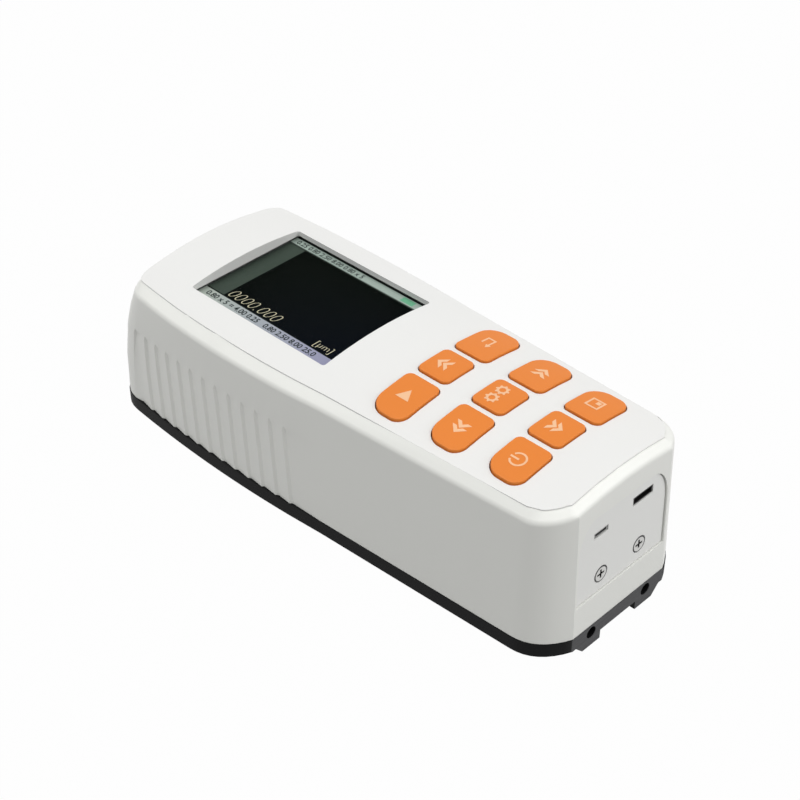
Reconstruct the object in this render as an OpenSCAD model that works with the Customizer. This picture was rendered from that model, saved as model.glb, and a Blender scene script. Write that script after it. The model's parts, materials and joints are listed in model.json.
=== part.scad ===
// Handheld surface roughness tester: a white housing on a black foot plate, a display and nine
// keys on top, and a small pickup that a screw drive pushes out of the nose and draws back
// over the work.
// +X runs to the rear end with the sockets, -X to the nose, +Z up. Millimetres.

/* [Body] */
// length of the foot plate, nose to rear end
foot_l = 158; // [150:1:190]
// greatest width of the foot plate
foot_w = 63; // [60:0.5:72]
// width of the foot plate at the rear end, before its corners
rear_w = 52.2; // [50:0.2:58]
// flat part of the rear end between its corners
end_flat_w = 34.4; // [32:0.2:38]
// height of the crown of the top above the work
top_h = 47.7; // [47:0.1:56]
// radius of the crowned top, across the body
crown_r = 115; // [100:1:180]
// how far the top edge of the nose leans back
nose_rake = 10.5; // [6:0.5:12]
// lean of the side walls and the rear end, from foot to top
wall_draft = 1.2; // [0.6:0.1:1.8]
// wall thickness of the housing
wall_t = 2.2; // [2:0.1:2.6]
// height of the bevelled edge round the top
edge_h = 2; // [1.6:0.1:2.6]
// how far the lower corner of that edge is rounded
edge_r = 0.9; // [0.5:0.1:1.2]

/* [Foot plate] */
// depth of the two rails under the plate
rail_h = 2.7; // [2:0.1:4]
// thickness of the plate between the rails
plate_t = 4.1; // [3.8:0.1:5]
// how far the foot stands out beyond the housing
foot_lip = 0.2; // [0.1:0.1:1.2]
// width of the channel between the rails
channel_w = 13.4; // [13:0.1:15]
// width of each rail's sole
rail_w = 6.6; // [5.5:0.1:8]
// spacing of the two fixing holes in the rear end
fix_pitch = 20.8; // [19:0.1:22]
// tapping diameter of the fixing holes
fix_d = 3.3; // [2.8:0.1:3.4]
// depth of the fixing holes
fix_depth = 9; // [6:0.5:12]

/* [Grip ribs] */
// ribs on each side of the front
rib_n = 12; // [8:1:14]
// depth of each rib step
rib_depth = 0.55; // [0.3:0.05:0.8]
// height of the rib tops
rib_top = 31; // [26:0.5:34]
// how far the tops of the ribs stand ahead of their feet
rib_lean = 2.2; // [0:0.1:3]

/* [Display] */
// length of the display opening, along the body
view_l = 50; // [46:0.5:52]
// width of the body left on each side of the display opening
view_side = 12.3; // [11.6:0.1:13]
// depth of the window's face below the crown
glass_drop = 3.1; // [2.8:0.1:3.6]

/* [Keys] */
// spacing of the key rows along the body
key_pitch = 17.7; // [17.4:0.1:18.4]
// length of the outer keys, along the body
key_l = 10.8; // [10:0.1:12]
// width of the middle keys
key_w = 11.1; // [10.5:0.1:12]
// how far the keys stand above the cover
key_rise = 0.7; // [0.6:0.1:1.2]
// stroke of each key
key_stroke = 0.6; // [0.4:0.1:0.7]

/* [Drive] */
// how far the pickup stands out of the nose when parked
pickup_out = 14; // [12:0.5:18]
// stroke of the carriage
stroke = 17.5; // [12:0.5:18]
// diameter of the pickup tube
pickup_d = 7; // [6:0.1:7.2]
// height of the pickup axis above the work
pickup_z = 8; // [7.8:0.1:9]
// diameter of the guide rods
rod_d = 5; // [4:0.5:6]
// spacing of the guide rods
rod_pitch = 22; // [20:1:24]
// diameter of the lead screw
screw_d = 4; // [3:0.5:5]
// tooth module of the gears
gear_m = 0.5; // [0.4:0.05:0.5]
// teeth of the gear on the lead screw
gear_n = 28; // [24:1:28]
// teeth of the motor pinion
pinion_n = 16; // [12:1:16]
// diameter of the motor
motor_d = 12; // [10:0.5:12]
// length of the motor
motor_l = 22; // [18:0.5:24]

/* [Hidden] */
$fn = 64;
// clearances
fit = 0.05; // running fits
seam = 0.2; // parting lines between mouldings
key_gap = 0.3; // round each key
cut = 1; // how far cutters run past a face
// stations: the rear end, and a place d in front of it
x_end = (foot_l + pickup_out) / 2;
function st(d) = x_end - d;
x_nose = st(foot_l);
// levels
plate_z = rail_h;
deck_z = rail_h + plate_t; // top of the foot plate
crown_c = top_h - crown_r;
glass_z = top_h - glass_drop;
view_w = foot_w - 2 * view_side;
function crown(y, drop = 0) = crown_c + sqrt(pow(crown_r - drop, 2) - y * y);

// plan of the foot
barrel_d = 110; // station of the greatest width
kink_d = 73.5; // where the barrel front meets the straight rear
barrel_bulge = 3.2; // how much wider the barrel front gets
kink_w = foot_w - barrel_bulge; // width where they meet
corner_d = 11.5; // rear corners start here
corner_pull = 3.9; // how far in front of the end their curve is drawn to
nose_corner_d = 11; // nose corners start this far behind the nose
nose_corner_in = 13.2; // how far in from the greatest width the nose corners end
nose_corner_w = foot_w - 2 * nose_corner_in;
nose_corner_pull = 2.2;
nose_bow = 1.6;
side_n = 5;
arc_n = 8;
barrel_r = (pow(barrel_d - kink_d, 2) + pow((foot_w - kink_w) / 2, 2)) / (foot_w - kink_w);
function half_w(d) =
    d < kink_d ? (rear_w + (kink_w - rear_w) * d / kink_d) / 2
               : foot_w / 2 - barrel_r + sqrt(barrel_r * barrel_r - pow(d - barrel_d, 2));
// points on a curve from a to b that is drawn towards c
function bend(a, c, b, n) = [for (i = [1 : n - 1]) let (t = i / n)
    a * (1 - t) * (1 - t) + c * 2 * t * (1 - t) + b * t * t];

// rib stations and the rib depth at each: a step and a slope
rib_d0 = 84;
rib_d1 = 145;
rib_p = (rib_d1 - rib_d0) / rib_n;
rib_step = 0.14;
rib_mid = 0.55;
rib_mid_depth = 0.5;
rib_ahead = 0.6; // share of the lean that is at the tops
// half outline from the rear centre to the nose centre: [distance from the end, half width, rib share]
end_half = end_flat_w / 2;
function flat(list) = [for (p = list) [p[0], p[1], 0]];
half_plan = concat(
    [[0, 0, 0], [0, end_half / 2, 0], [0, end_half, 0]],
    flat(bend([0, end_half], [corner_pull, half_w(corner_pull)], [corner_d, half_w(corner_d)], arc_n)),
    [for (i = [0 : side_n]) let (d = corner_d + (kink_d - corner_d) * i / side_n) [d, half_w(d), 0]],
    [for (i = [0 : rib_n - 1], s = [[0, 1], [rib_step, 0], [rib_mid, rib_mid_depth]])
        let (d = rib_d0 + (i + s[0]) * rib_p) [d, half_w(d), s[1]]],
    [[rib_d1, half_w(rib_d1), 1], [foot_l - nose_corner_d, half_w(foot_l - nose_corner_d), 0]],
    flat(bend([foot_l - nose_corner_d, half_w(foot_l - nose_corner_d)],
              [foot_l - nose_corner_pull, half_w(foot_l - nose_corner_pull)],
              [foot_l - nose_bow, nose_corner_w / 2], arc_n)),
    [for (i = [0 : 3]) let (y = nose_corner_w / 2 * (1 - i / 4))
        [foot_l - nose_bow * pow(2 * y / nose_corner_w, 2), y, 0]],
    [[foot_l, 0, 0]]
);
half_n = len(half_plan);
// whole outline, counter-clockwise seen from above: +Y side from rear to nose, then back along -Y
plan = concat(half_plan,
    [for (i = [half_n - 2 : -1 : 1]) [half_plan[i][0], -half_plan[i][1], half_plan[i][2]]]);
plan_n = len(plan);
function plan_xy(i) = [st(plan[i][0]), plan[i][1]];
function normal(i) =
    let (a = plan_xy((i + plan_n - 1) % plan_n), b = plan_xy((i + 1) % plan_n), v = b - a)
    [v[1], -v[0]] / norm(v);
normals = [for (i = [0 : plan_n - 1]) normal(i)];
// the nose leans back above rake_z, less and less behind the nose
rake_z = 16;
rake_d = 129;
function rake(i, z) = nose_rake * pow(max(0, z - rake_z) / (top_h - rake_z), 2)
    * max(0, plan[i][0] - rake_d) / (foot_l - rake_d);
// outline point i, drawn in by an inset, at height z
function at(i, inset, z) = let (p = plan_xy(i) - normals[i] * inset) [p[0] + rake(i, z), p[1], z];
// the rear end leans in as the sides do, the nose only by its rake
function draft(z) = foot_lip + wall_draft * (z - deck_z) / (top_h - deck_z);
function lean(i, z) =
    foot_lip + (draft(z) - foot_lip) * (plan[i][0] < foot_l / 2 ? 1 : abs(normals[i][1]));
end_lean = atan(wall_draft / (top_h - deck_z));
// width of the housing's rim round the cover: wider at the barrel front than at the rear
rim_rear = 2.2;
rim_front = 3.1;
rim_end = 2.5;
function rim(i) = let (d = plan[i][0])
    d < corner_d ? rim_end + (rim_rear - rim_end) * d / corner_d :
    rim_rear + (rim_front - rim_rear) * min(1, max(0, (d - corner_d) / (barrel_d - corner_d)));
// inside faces
cover_t = 2.2;
ledge_w = 1;
ledge_t = 1.6;
ledge_slope = 2;
end_wall_t = 3.6;
function wall(i) = plan[i][0] < corner_d / 2 ? end_wall_t : wall_t;
rib_fade = 1.5;
mid_z = (deck_z + rib_top) / 2;
upper_z = (rib_top + crown(foot_w / 2) - edge_h) / 2;
edge_n = 4; // steps in the rounded corner under the bevel

// one ring of the housing's skin: outer rings by height, the bevelled edge, then the inside
// the ribs slide along the wall with height, so that they lean towards the nose
function slip(i, z) = plan[i][0] < rib_d0 || plan[i][0] > rib_d1 ? 0 :
    rib_lean * (max(0, rib_top - z) / (rib_top - deck_z) - rib_ahead);
function slide(i, z) = let (s = slip(i, z), d = plan[i][0])
    s == 0 ? [0, 0, 0] : [s, sign(plan[i][1]) * (half_w(d - s) - half_w(d)), 0];
function wall_ring(z, rib) =
    [for (i = [0 : plan_n - 1]) at(i, lean(i, z) + rib * rib_depth * plan[i][2], z) + slide(i, z)];
function brow_z(i) = crown(plan[i][1]) - edge_h;
function brow_in(i) = lean(i, brow_z(i));
// t runs from 0, on the wall, round the lower corner to 1, on the bevel
function edge_step(i, t) = let (up = [rim(i), -edge_h], low = [0, edge_h])
    (low + [0, edge_r]) * (1 - t) * (1 - t) + low * 2 * t * (1 - t)
    + (low + up * edge_r / norm(up)) * t * t;
function edge_ring(t) = [for (i = [0 : plan_n - 1])
    let (step = edge_step(i, t), q = at(i, brow_in(i) + step[0], brow_z(i)))
    at(i, brow_in(i) + step[0], crown(q[1]) - step[1])];
function rim_ring(extra, drop) = [for (i = [0 : plan_n - 1])
    let (q = at(i, brow_in(i) + rim(i) + extra, crown(plan[i][1])))
    [q[0], q[1], crown(q[1], drop)]];
function inner_ring(drop) = [for (i = [0 : plan_n - 1])
    let (z = crown(plan[i][1]) - drop) at(i, lean(i, z) + wall(i), z)];
function foot_ring() = [for (i = [0 : plan_n - 1]) at(i, lean(i, deck_z) + wall(i), deck_z)];

module tube_skin(rings) {
    n = plan_n;
    m = len(rings);
    pts = [for (r = rings, p = r) p];
    quads = [for (k = [0 : m - 1], i = [0 : n - 1])
        let (a = k * n + i, b = k * n + (i + 1) % n, c = ((k + 1) % m) * n + (i + 1) % n,
            e = ((k + 1) % m) * n + i)
        each [[a, c, b], [a, e, c]]];
    polyhedron(points = pts, faces = quads);
}

// shared shapes
module bar_x(d, x0, x1, y, z) {
    translate([x0, y, z])
        rotate([0, 90, 0])
            cylinder(d = d, h = x1 - x0);
}
module box(x0, x1, y0, y1, z0, z1) {
    translate([x0, y0, z0])
        cube([x1 - x0, y1 - y0, z1 - z0]);
}
// rounded pad with corner radius ra on its y0 side and rb on its y1 side
module pad(x0, x1, y0, y1, ra, rb, rc) {
    polygon([[x0 + ra, y0], [x1 - ra, y0], [x1, y0 + ra], [x1, y1 - rc],
             [x1 - rc, y1], [x0 + rb, y1], [x0, y1 - rb], [x0, y0 + ra]]);
    for (x = [x0 + ra, x1 - ra])
        translate([x, y0 + ra])
            circle(ra);
    translate([x0 + rb, y1 - rb])
        circle(rb);
    translate([x1 - rc, y1 - rc])
        circle(rc);
}
module crown_bar(drop) {
    translate([st(foot_l), 0, crown_c])
        rotate([0, 90, 0])
            cylinder(r = crown_r - drop, h = foot_l, $fn = 256);
}
module gear(n, t) {
    r = gear_m * n / 2;
    linear_extrude(t) {
        circle(r - root_depth);
        for (i = [0 : n - 1])
            rotate(360 * i / n)
                polygon([[0, -tooth_root], [r - root_depth, -tooth_root], [r + tooth_add, -tooth_tip],
                         [r + tooth_add, tooth_tip], [r - root_depth, tooth_root], [0, tooth_root]]);
    }
}
root_depth = 1.2 * gear_m;
tooth_add = 0.75 * gear_m;
tooth_root = 0.72 * gear_m;
tooth_tip = 0.28 * gear_m;

// foot plate: stations and sizes
rail_flank = 2.6;
rail_front_d = 148;
slot_w = 12.4;
slot_d = 98;
screw_back_d = 24;
screw_back_y = 20.5;
screw_front_d = 141;
screw_front_y = 22;
screw_places = [[screw_back_d, screw_back_y], [screw_back_d, -screw_back_y],
                [screw_front_d, screw_front_y], [screw_front_d, -screw_front_y]];
screw_major = 3;
screw_head_d = 5.6;
screw_head_h = 1.8;
screw_hole = 3.2;
screw_top_z = 15;
boss_d = 6.4;
boss_h = 12;
web_t = 2.4;
fix_z = 4.4;
arch_r = slot_w / 2;

// rear panel: sizes
panel_t = 1.6;
panel_in = 0.9; // its face behind the wall round it
panel_z0 = 16;
panel_drop = 7.9; // its top edge below the crown
panel_arch = 9.2; // height of its rounded shoulders
panel_top_z = top_h - panel_drop;
panel_shoulder_z = panel_top_z - panel_arch;
panel_half = 16.3;
panel_top_half = 10.5;
wall_face = x_end - foot_lip; // rear wall at the foot plate
panel_face = wall_face - panel_in;
function panel_at(z) = panel_face + foot_lip - draft(z);
panel_screw_y = 7.2;
panel_screw_z = 20.7;
panel_screw_d = 2.5;
panel_head_d = 4.6;
panel_head_h = 0.9;
panel_screw_l = 6;
cross_l = 2.6;
cross_w = 0.6;
usb_y = 7.4;
usb_drop = 4.2; // middle of the socket below the panel's top edge
usb_z = panel_top_z - usb_drop;
usb_w = 7.2;
usb_h = 2.2;
card_y = -8;
card_drop = 5.8;
card_z = panel_top_z - card_drop;
card_w = 4.8;
card_h = 1.5;
port_gap = 0.15;

// display: sizes
view_d = 106.4; // middle of the opening
view_r = 0.8;
collar_t = 1.6;
glass_t = 1.4;
glass_lap = 1;
lcd_t = 2.5;
frame_wall = 1.6;
frame_floor = 2;
frame_low = 0.6; // its wall below the window
ear_d = 4.4;
ear_screw_d = 2;
ear_head_d = 3.8;
ear_head_h = 1.2;
ear_z = glass_z - glass_t - lcd_t; // the cover's bosses end here, on the frame's ears
ear_y = 14;
ear_bite = 4;
// keys: sizes
key_d0 = 57.5; // first row
key_in = 7.7; // inner edge of the outer keys
key_side = 9.1; // outer edge in the first row, in from the greatest width
key_out = foot_w / 2 - key_side;
key_short = 0.9; // middle keys end this far short of the outer ones
key_taper = 0.8; // outer keys get narrower by this at each row
key_r = 1.8;
key_nose_r = 5; // outer corners of the outer keys, towards the nose and the rear
key_rear_r = 3.2;
key_foot_drop = 5.9; // feet of the keys below the crown
key_foot_z = top_h - key_foot_drop;
key_flange_t = 1.1;
key_flange_w = 0.7;
mat_gap = 0.2;
mat_top = key_foot_z - key_stroke - mat_gap;
mat_t = 1.5;
dome_d = 5;
pcb_t = 1.6;
pad_in = 2; // edge of the key board in from the outer keys
pad_half = key_out - pad_in;
pad_d0 = 13;
pad_d1 = 65;
// boards: levels
port_rise = 1.7; // socket above the main board
main_top = usb_z - usb_h / 2 - port_rise;
main_z = main_top - pcb_t;
main_in = 1.1; // edge of the main board in from the key board
main_half = pad_half - main_in;
main_d0 = 8;
rear_d = 71; // rear plate of the drive
main_clear = 6; // between the board and that plate, where the gears run
main_d1 = rear_d - main_clear;
post_d = 6;
post_in = 3; // post centres in from the board's edge
post_end = 3.5;
post_d0 = 11;
post_d1 = main_d1 - post_end;
post_places = [for (d = [post_d0, post_d1], s = [-1, 1]) [d, s * (main_half - post_in)]];
spacer_d = 4;
spacer_in = 3.4;
spacer_d0 = 17;
spacer_end = 4;
spacer_d1 = main_d1 - spacer_end;
spacer_places = [for (d = [spacer_d0, spacer_d1], s = [-1, 1]) [d, s * (pad_half - spacer_in)]];
board_bottom = mat_top - mat_t - pcb_t;
// battery
cell_d0 = 16;
cell_d1 = 56.5;
cell_half = 13.5;
cell_h = 13;
tray_t = 2;
tray_wall = 1.4;
tray_lip = 4;
tray_gap = 0.2;
// drive: stations and sizes
front_d = 142;
plate_w = 34;
plate_th = 3;
sill_in = 7.5;
sill_t = 2;
bay_top = glass_z - glass_t - lcd_t - frame_floor; // underside of the display's tray
screw_share = 0.38245; // how far up the bay the screw and the rods run
screw_z = deck_z + screw_share * (bay_top - deck_z);
front_over = 7; // front plate above the screw
front_h = screw_z + front_over;
gear_centres = gear_m * (gear_n + pinion_n) / 2;
mesh_a = 55; // the motor sits up and to the side of the screw
motor_y = gear_centres * cos(mesh_a);
motor_z = screw_z + gear_centres * sin(mesh_a);
motor_boss_d = 5;
rear_over = 3; // rear plate above the motor's boss
rear_h = motor_z + motor_boss_d / 2 + rear_over;
shaft_d = 2;
gear_t = 3;
gear_gap = 1;
shaft_end = 0.6; // shafts past the gears
bush_d = 8;
bush_flange = 10;
bush_flange_t = 1;
carriage_d0 = 101;
carriage_l = 16;
carriage_half = 16;
carriage_under = 5; // carriage below and above the screw
carriage_over = 5.4;
carriage_z0 = screw_z - carriage_under;
carriage_z1 = screw_z + carriage_over;
arm_half = 5;
arm_l = 10;
socket_d = 5;
socket_l = 8;
tube_bore = 5;
nose_l = 24;
slit_w = 2.2;
slit_l = 11;
pivot_back = 21; // pivot behind the tube's end
pivot_d = 1.2;
stylus_d = 1.4;
hub_d = 3;
hub_w = 2;
tip_back = 3; // tip behind the tube's end
tip_d = 0.9;
tip_clear = 0.25;
tip_cone = 1.2;
skid_back = 7;
skid_r = 3;
skid_w = 2;
skid_clear = 0.2;
seal_d = 11;
seal_bore = 7.8;
seal_t = 2.5;
switch_l = 6;
switch_w = 4;
switch_gap = 0.9; // below the carriage
switch_h = carriage_z0 - deck_z - sill_t - switch_gap;
switch_y = 12;
switch_front_d = 136;
switch_rear_d = 84;
buzzer_d = 9;
buzzer_h = 2.4;
buzzer_at_d = 40;
buzzer_at_y = 9;

// black plate with two rails under it, fixing holes in its rear end and a slot for the pickup
module foot_plate() {
    color([0.1, 0.1, 0.11])
        difference() {
            union() {
                translate([0, 0, plate_z])
                    linear_extrude(plate_t)
                        polygon([for (i = [0 : plan_n - 1]) plan_xy(i)]);
                for (s = [-1, 1])
                    translate([st(rail_front_d), 0, 0])
                        rotate([90, 0, 90])
                            linear_extrude(rail_front_d)
                                polygon([for (p = [[channel_w / 2, 0], [channel_w / 2 + rail_w, 0],
                                                   [channel_w / 2 + rail_w + rail_flank, rail_h],
                                                   [channel_w / 2, rail_h]]) [s * p[0], p[1]]]);
            }
            box(x_nose - cut, st(slot_d), -slot_w / 2, slot_w / 2, -cut, deck_z + cut);
            for (s = [-1, 1])
                bar_x(fix_d, x_end - fix_depth, x_end + cut, s * fix_pitch / 2, fix_z);
            for (p = screw_places)
                translate([st(p[0]), p[1], 0]) {
                    cylinder(d = screw_hole, h = deck_z + cut);
                    cylinder(d = screw_head_d + 2 * fit, h = plate_z + screw_head_h);
                }
        }
}

// white moulded wall with the ribbed front, the leaning nose and the rim round the cover
module housing() {
    color([0.93, 0.92, 0.9])
        difference() {
            union() {
                tube_skin([wall_ring(deck_z, 1), wall_ring(mid_z, 1), wall_ring(rib_top - rib_fade, 1),
                           wall_ring(rib_top, 0), wall_ring(upper_z, 0),
                           for (k = [0 : edge_n]) edge_ring(k / edge_n),
                           rim_ring(0, 0), rim_ring(0, cover_t + fit), rim_ring(ledge_w, cover_t + fit),
                           rim_ring(ledge_w, cover_t + fit + ledge_t),
                           inner_ring(cover_t + ledge_t + ledge_slope), foot_ring()]);
                for (p = screw_places) {
                    translate([st(p[0]), p[1], deck_z])
                        cylinder(d = boss_d, h = boss_h);
                    web = sign(p[1]) * (half_w(p[0]) - foot_lip - wall_t / 2);
                    box(st(p[0]) - web_t / 2, st(p[0]) + web_t / 2, min(p[1], web), max(p[1], web),
                        deck_z,
                        deck_z + boss_h);
                }
            }
            for (p = screw_places)
                translate([st(p[0]), p[1], deck_z - cut])
                    cylinder(d = screw_major + 2 * fit, h = screw_top_z + cut - deck_z + fit);
            rear_lean() {
                translate([panel_face - panel_t, 0, 0])
                    panel_outline(panel_t + panel_in + cut, seam);
                for (s = [-1, 1])
                    bar_x(panel_screw_d + 2 * fit, wall_face - end_wall_t - cut, panel_face,
                        s * panel_screw_y,
                          panel_screw_z);
            }
            port_openings();
            bar_x(2 * arch_r, x_nose - cut, x_nose + nose_l, 0, pickup_z);
            box(x_nose - cut, x_nose + nose_l, -arch_r, arch_r, deck_z - cut, pickup_z);
        }
}

// tilts what is drawn on an upright rear end to the lean of the wall
module rear_lean() {
    translate([wall_face, 0, deck_z])
        rotate([0, -end_lean, 0])
            translate([-wall_face, 0, -deck_z])
                children();
}

// openings for the two sockets, through the wall and the panel
module port_openings() {
    box(panel_at(usb_z) - end_wall_t - cut, wall_face, usb_y - usb_w / 2 - port_gap,
        usb_y + usb_w / 2 + port_gap,
        usb_z - usb_h / 2 - port_gap, usb_z + usb_h / 2 + port_gap);
    box(panel_at(card_z) - end_wall_t - cut, wall_face, card_y - card_w / 2 - port_gap,
        card_y + card_w / 2 + port_gap, card_z - card_h / 2 - port_gap, card_z + card_h / 2 + port_gap);
}

// rear panel outline, drawn on the YZ plane and thick along +X
module panel_outline(t, grow) {
    rotate([90, 0, 90])
        linear_extrude(t)
            polygon([[-panel_half - grow, panel_z0 - grow], [panel_half + grow, panel_z0 - grow],
                     [panel_half + grow, panel_shoulder_z],
                     for (a = [15 : 15 : 75])
                         [panel_top_half + (panel_half + grow - panel_top_half) * cos(a),
                          panel_shoulder_z + (panel_top_z + grow - panel_shoulder_z) * sin(a)],
                     [panel_top_half, panel_top_z + grow], [-panel_top_half, panel_top_z + grow],
                     for (a = [75 : -15 : 15])
                         [-panel_top_half - (panel_half + grow - panel_top_half) * cos(a),
                          panel_shoulder_z + (panel_top_z + grow - panel_shoulder_z) * sin(a)],
                     [-panel_half - grow, panel_shoulder_z]]);
}

// white panel let into the rear end, with the two openings
module rear_panel() {
    color([0.9, 0.9, 0.88])
        difference() {
            rear_lean()
                difference() {
                    translate([panel_face - panel_t, 0, 0])
                        panel_outline(panel_t, 0);
                    for (s = [-1, 1]) {
                        bar_x(panel_screw_d + 2 * fit, panel_face - panel_t - cut, panel_face,
                            s * panel_screw_y,
                              panel_screw_z);
                        bar_x(panel_head_d + 2 * fit, panel_face - panel_head_h, panel_face + cut,
                              s * panel_screw_y, panel_screw_z);
                    }
                }
            port_openings();
        }
}

// two cross-recess screws that hold the rear panel
module rear_screws() {
    color([0.75, 0.75, 0.74])
        rear_lean()
            for (s = [-1, 1])
                difference() {
                    union() {
                        bar_x(panel_screw_d, panel_face - panel_screw_l, panel_face - panel_head_h,
                              s * panel_screw_y, panel_screw_z);
                        bar_x(panel_head_d, panel_face - panel_head_h, panel_face, s * panel_screw_y,
                              panel_screw_z);
                    }
                    for (t = [[cross_l, cross_w], [cross_w, cross_l]])
                        box(panel_face - panel_head_h / 2, panel_face + cut, s * panel_screw_y - t[0] / 2,
                            s * panel_screw_y + t[0] / 2, panel_screw_z - t[1] / 2,
                            panel_screw_z + t[1] / 2);
                }
}

// four screws from below, through the foot plate into the housing's bosses
module foot_screws() {
    color([0.2, 0.2, 0.21])
        for (p = screw_places)
            translate([st(p[0]), p[1], plate_z])
                difference() {
                    union() {
                        cylinder(d = screw_head_d, h = screw_head_h);
                        cylinder(d = screw_major, h = screw_top_z - plate_z);
                    }
                    for (t = [[cross_l, cross_w], [cross_w, cross_l]])
                        translate([-t[0] / 2, -t[1] / 2, -cut])
                            cube([t[0], t[1], cut + screw_head_h / 2]);
                }
}

// crowned cover with the display opening, its collar and nine key openings
module top_cover() {
    color([0.94, 0.94, 0.92])
        difference() {
            union() {
                intersection() {
                    difference() {
                        crown_bar(0);
                        crown_bar(cover_t);
                    }
                    translate([0, 0, glass_z - cover_t - ledge_t])
                        linear_extrude(top_h)
                            polygon([for (p = rim_ring(seam, 0)) [p[0], p[1]]]);
                }
                intersection() {
                    crown_bar(cover_t / 2);
                    union() {
                        box(st(view_d) - view_l / 2 - collar_t, st(view_d) + view_l / 2 + collar_t,
                            -view_w / 2 - collar_t, view_w / 2 + collar_t, glass_z, top_h);
                        for (p = ear_places())
                            translate([p[0], p[1], ear_z])
                                cylinder(d = ear_d, h = top_h - ear_z);
                    }
                }
            }
            translate([st(view_d), 0, glass_z - cut])
                linear_extrude(top_h)
                    pad(-view_l / 2, view_l / 2, -view_w / 2, view_w / 2, view_r, view_r, view_r);
            box(st(view_d) - view_l / 2 - glass_lap - seam, st(view_d) + view_l / 2 + glass_lap + seam,
                -view_w / 2 - glass_lap - seam, view_w / 2 + glass_lap + seam, ear_z, glass_z);
            for (row = [0 : 2], col = [-1 : 1])
                translate([0, 0, key_foot_z])
                    linear_extrude(top_h)
                        key_outline(row, col, key_gap);
            for (p = ear_places())
                translate([p[0], p[1], ear_z - cut])
                    cylinder(d = ear_screw_d + 2 * fit, h = cut + ear_bite + fit);
        }
}
function ear_places() = [for (sx = [-1, 1], sy = [-1, 1])
    [st(view_d) + sx * (view_l / 2 + glass_lap + seam + frame_wall + ear_d / 2 + seam), sy * ear_y]];

// clear window under the collar
module display_window() {
    color([0.25, 0.27, 0.26, 0.5])
        box(st(view_d) - view_l / 2 - glass_lap, st(view_d) + view_l / 2 + glass_lap,
            -view_w / 2 - glass_lap,
            view_w / 2 + glass_lap, glass_z - glass_t, glass_z);
}

// display module under the window
module display_panel() {
    color([0.03, 0.03, 0.06])
        box(st(view_d) - view_l / 2 - glass_lap, st(view_d) + view_l / 2 + glass_lap,
            -view_w / 2 - glass_lap,
            view_w / 2 + glass_lap, glass_z - glass_t - lcd_t, glass_z - glass_t);
}

// tray that holds the display and the window up against the collar
module display_frame() {
    hx = view_l / 2 + glass_lap + seam;
    hy = view_w / 2 + glass_lap + seam;
    z0 = glass_z - glass_t - lcd_t;
    color([0.3, 0.3, 0.3])
        difference() {
            union() {
                box(st(view_d) - hx - frame_wall, st(view_d) + hx + frame_wall, -hy - frame_wall,
                    hy + frame_wall,
                    z0 - frame_floor, glass_z - glass_t - frame_low);
                for (p = ear_places()) {
                    translate([p[0], p[1], z0 - frame_floor])
                        cylinder(d = ear_d, h = frame_floor);
                    box(min(p[0], st(view_d)), max(p[0], st(view_d)), p[1] - ear_d / 2, p[1] + ear_d / 2,
                        z0 - frame_floor, z0);
                }
            }
            box(st(view_d) - hx, st(view_d) + hx, -hy, hy, z0, glass_z + cut);
            for (p = ear_places())
                translate([p[0], p[1], z0 - frame_floor - cut])
                    cylinder(d = ear_screw_d + 2 * fit, h = frame_floor + 2 * cut);
        }
}

// four small screws up into the cover's bosses
module display_screws() {
    color([0.6, 0.6, 0.6])
        for (p = ear_places())
            translate([p[0], p[1], ear_z - frame_floor - ear_head_h]) {
                cylinder(d = ear_head_d, h = ear_head_h);
                cylinder(d = ear_screw_d, h = ear_head_h + frame_floor + ear_bite);
            }
}

// key outline in plan: middle keys are square, outer keys have a wide round outer side
module key_outline(row, col, grow) {
    x0 = st(key_d0 - key_pitch * row) - key_l / 2 - grow;
    x1 = x0 + key_l + 2 * grow;
    y1 = key_out - key_taper * row + grow;
    r = key_r + grow;
    if (col == 0)
        pad(x0, x1 - key_short, -key_w / 2 - grow, key_w / 2 + grow, r, r, r);
    else
        mirror([0, col < 0 ? 1 : 0])
            pad(x0, x1, key_in - grow, y1, r, key_nose_r + grow, key_rear_r + grow);
}
module key(row, col) {
    color([0.95, 0.52, 0.18]) {
        intersection() {
            crown_bar(-key_rise);
            translate([0, 0, key_foot_z])
                linear_extrude(top_h)
                    key_outline(row, col, 0);
        }
        translate([0, 0, key_foot_z])
            linear_extrude(key_flange_t)
                key_outline(row, col, key_flange_w);
    }
}
module key_start() {
    key(0, -1);
}
module key_up() {
    key(0, 0);
}
module key_return() {
    key(0, 1);
}
module key_left() {
    key(1, -1);
}
module key_enter() {
    key(1, 0);
}
module key_right() {
    key(1, 1);
}
module key_power() {
    key(2, -1);
}
module key_down() {
    key(2, 0);
}
module key_save() {
    key(2, 1);
}

// soft mat with a dome under each key
module keypad_mat() {
    color([0.8, 0.8, 0.78])
        box(st(pad_d1), st(pad_d0), -pad_half, pad_half, mat_top - mat_t, mat_top);
}

// board with the key contacts
module keypad_board() {
    color([0.05, 0.3, 0.12])
        box(st(pad_d1), st(pad_d0), -pad_half, pad_half, board_bottom, board_bottom + pcb_t);
}

// four spacers between the two boards
module keypad_spacers() {
    color([0.75, 0.7, 0.5])
        for (p = spacer_places)
            translate([st(p[0]), p[1], main_top])
                cylinder(d = spacer_d, h = board_bottom - main_top);
}

// main board
module main_board() {
    color([0.05, 0.32, 0.14])
        box(st(main_d1), st(main_d0), -main_half, main_half, main_z, main_top);
}

// four posts that carry the main board
module board_posts() {
    color([0.75, 0.7, 0.5])
        for (p = post_places)
            translate([st(p[0]), p[1], deck_z])
                cylinder(d = post_d, h = main_z - deck_z);
}

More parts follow.
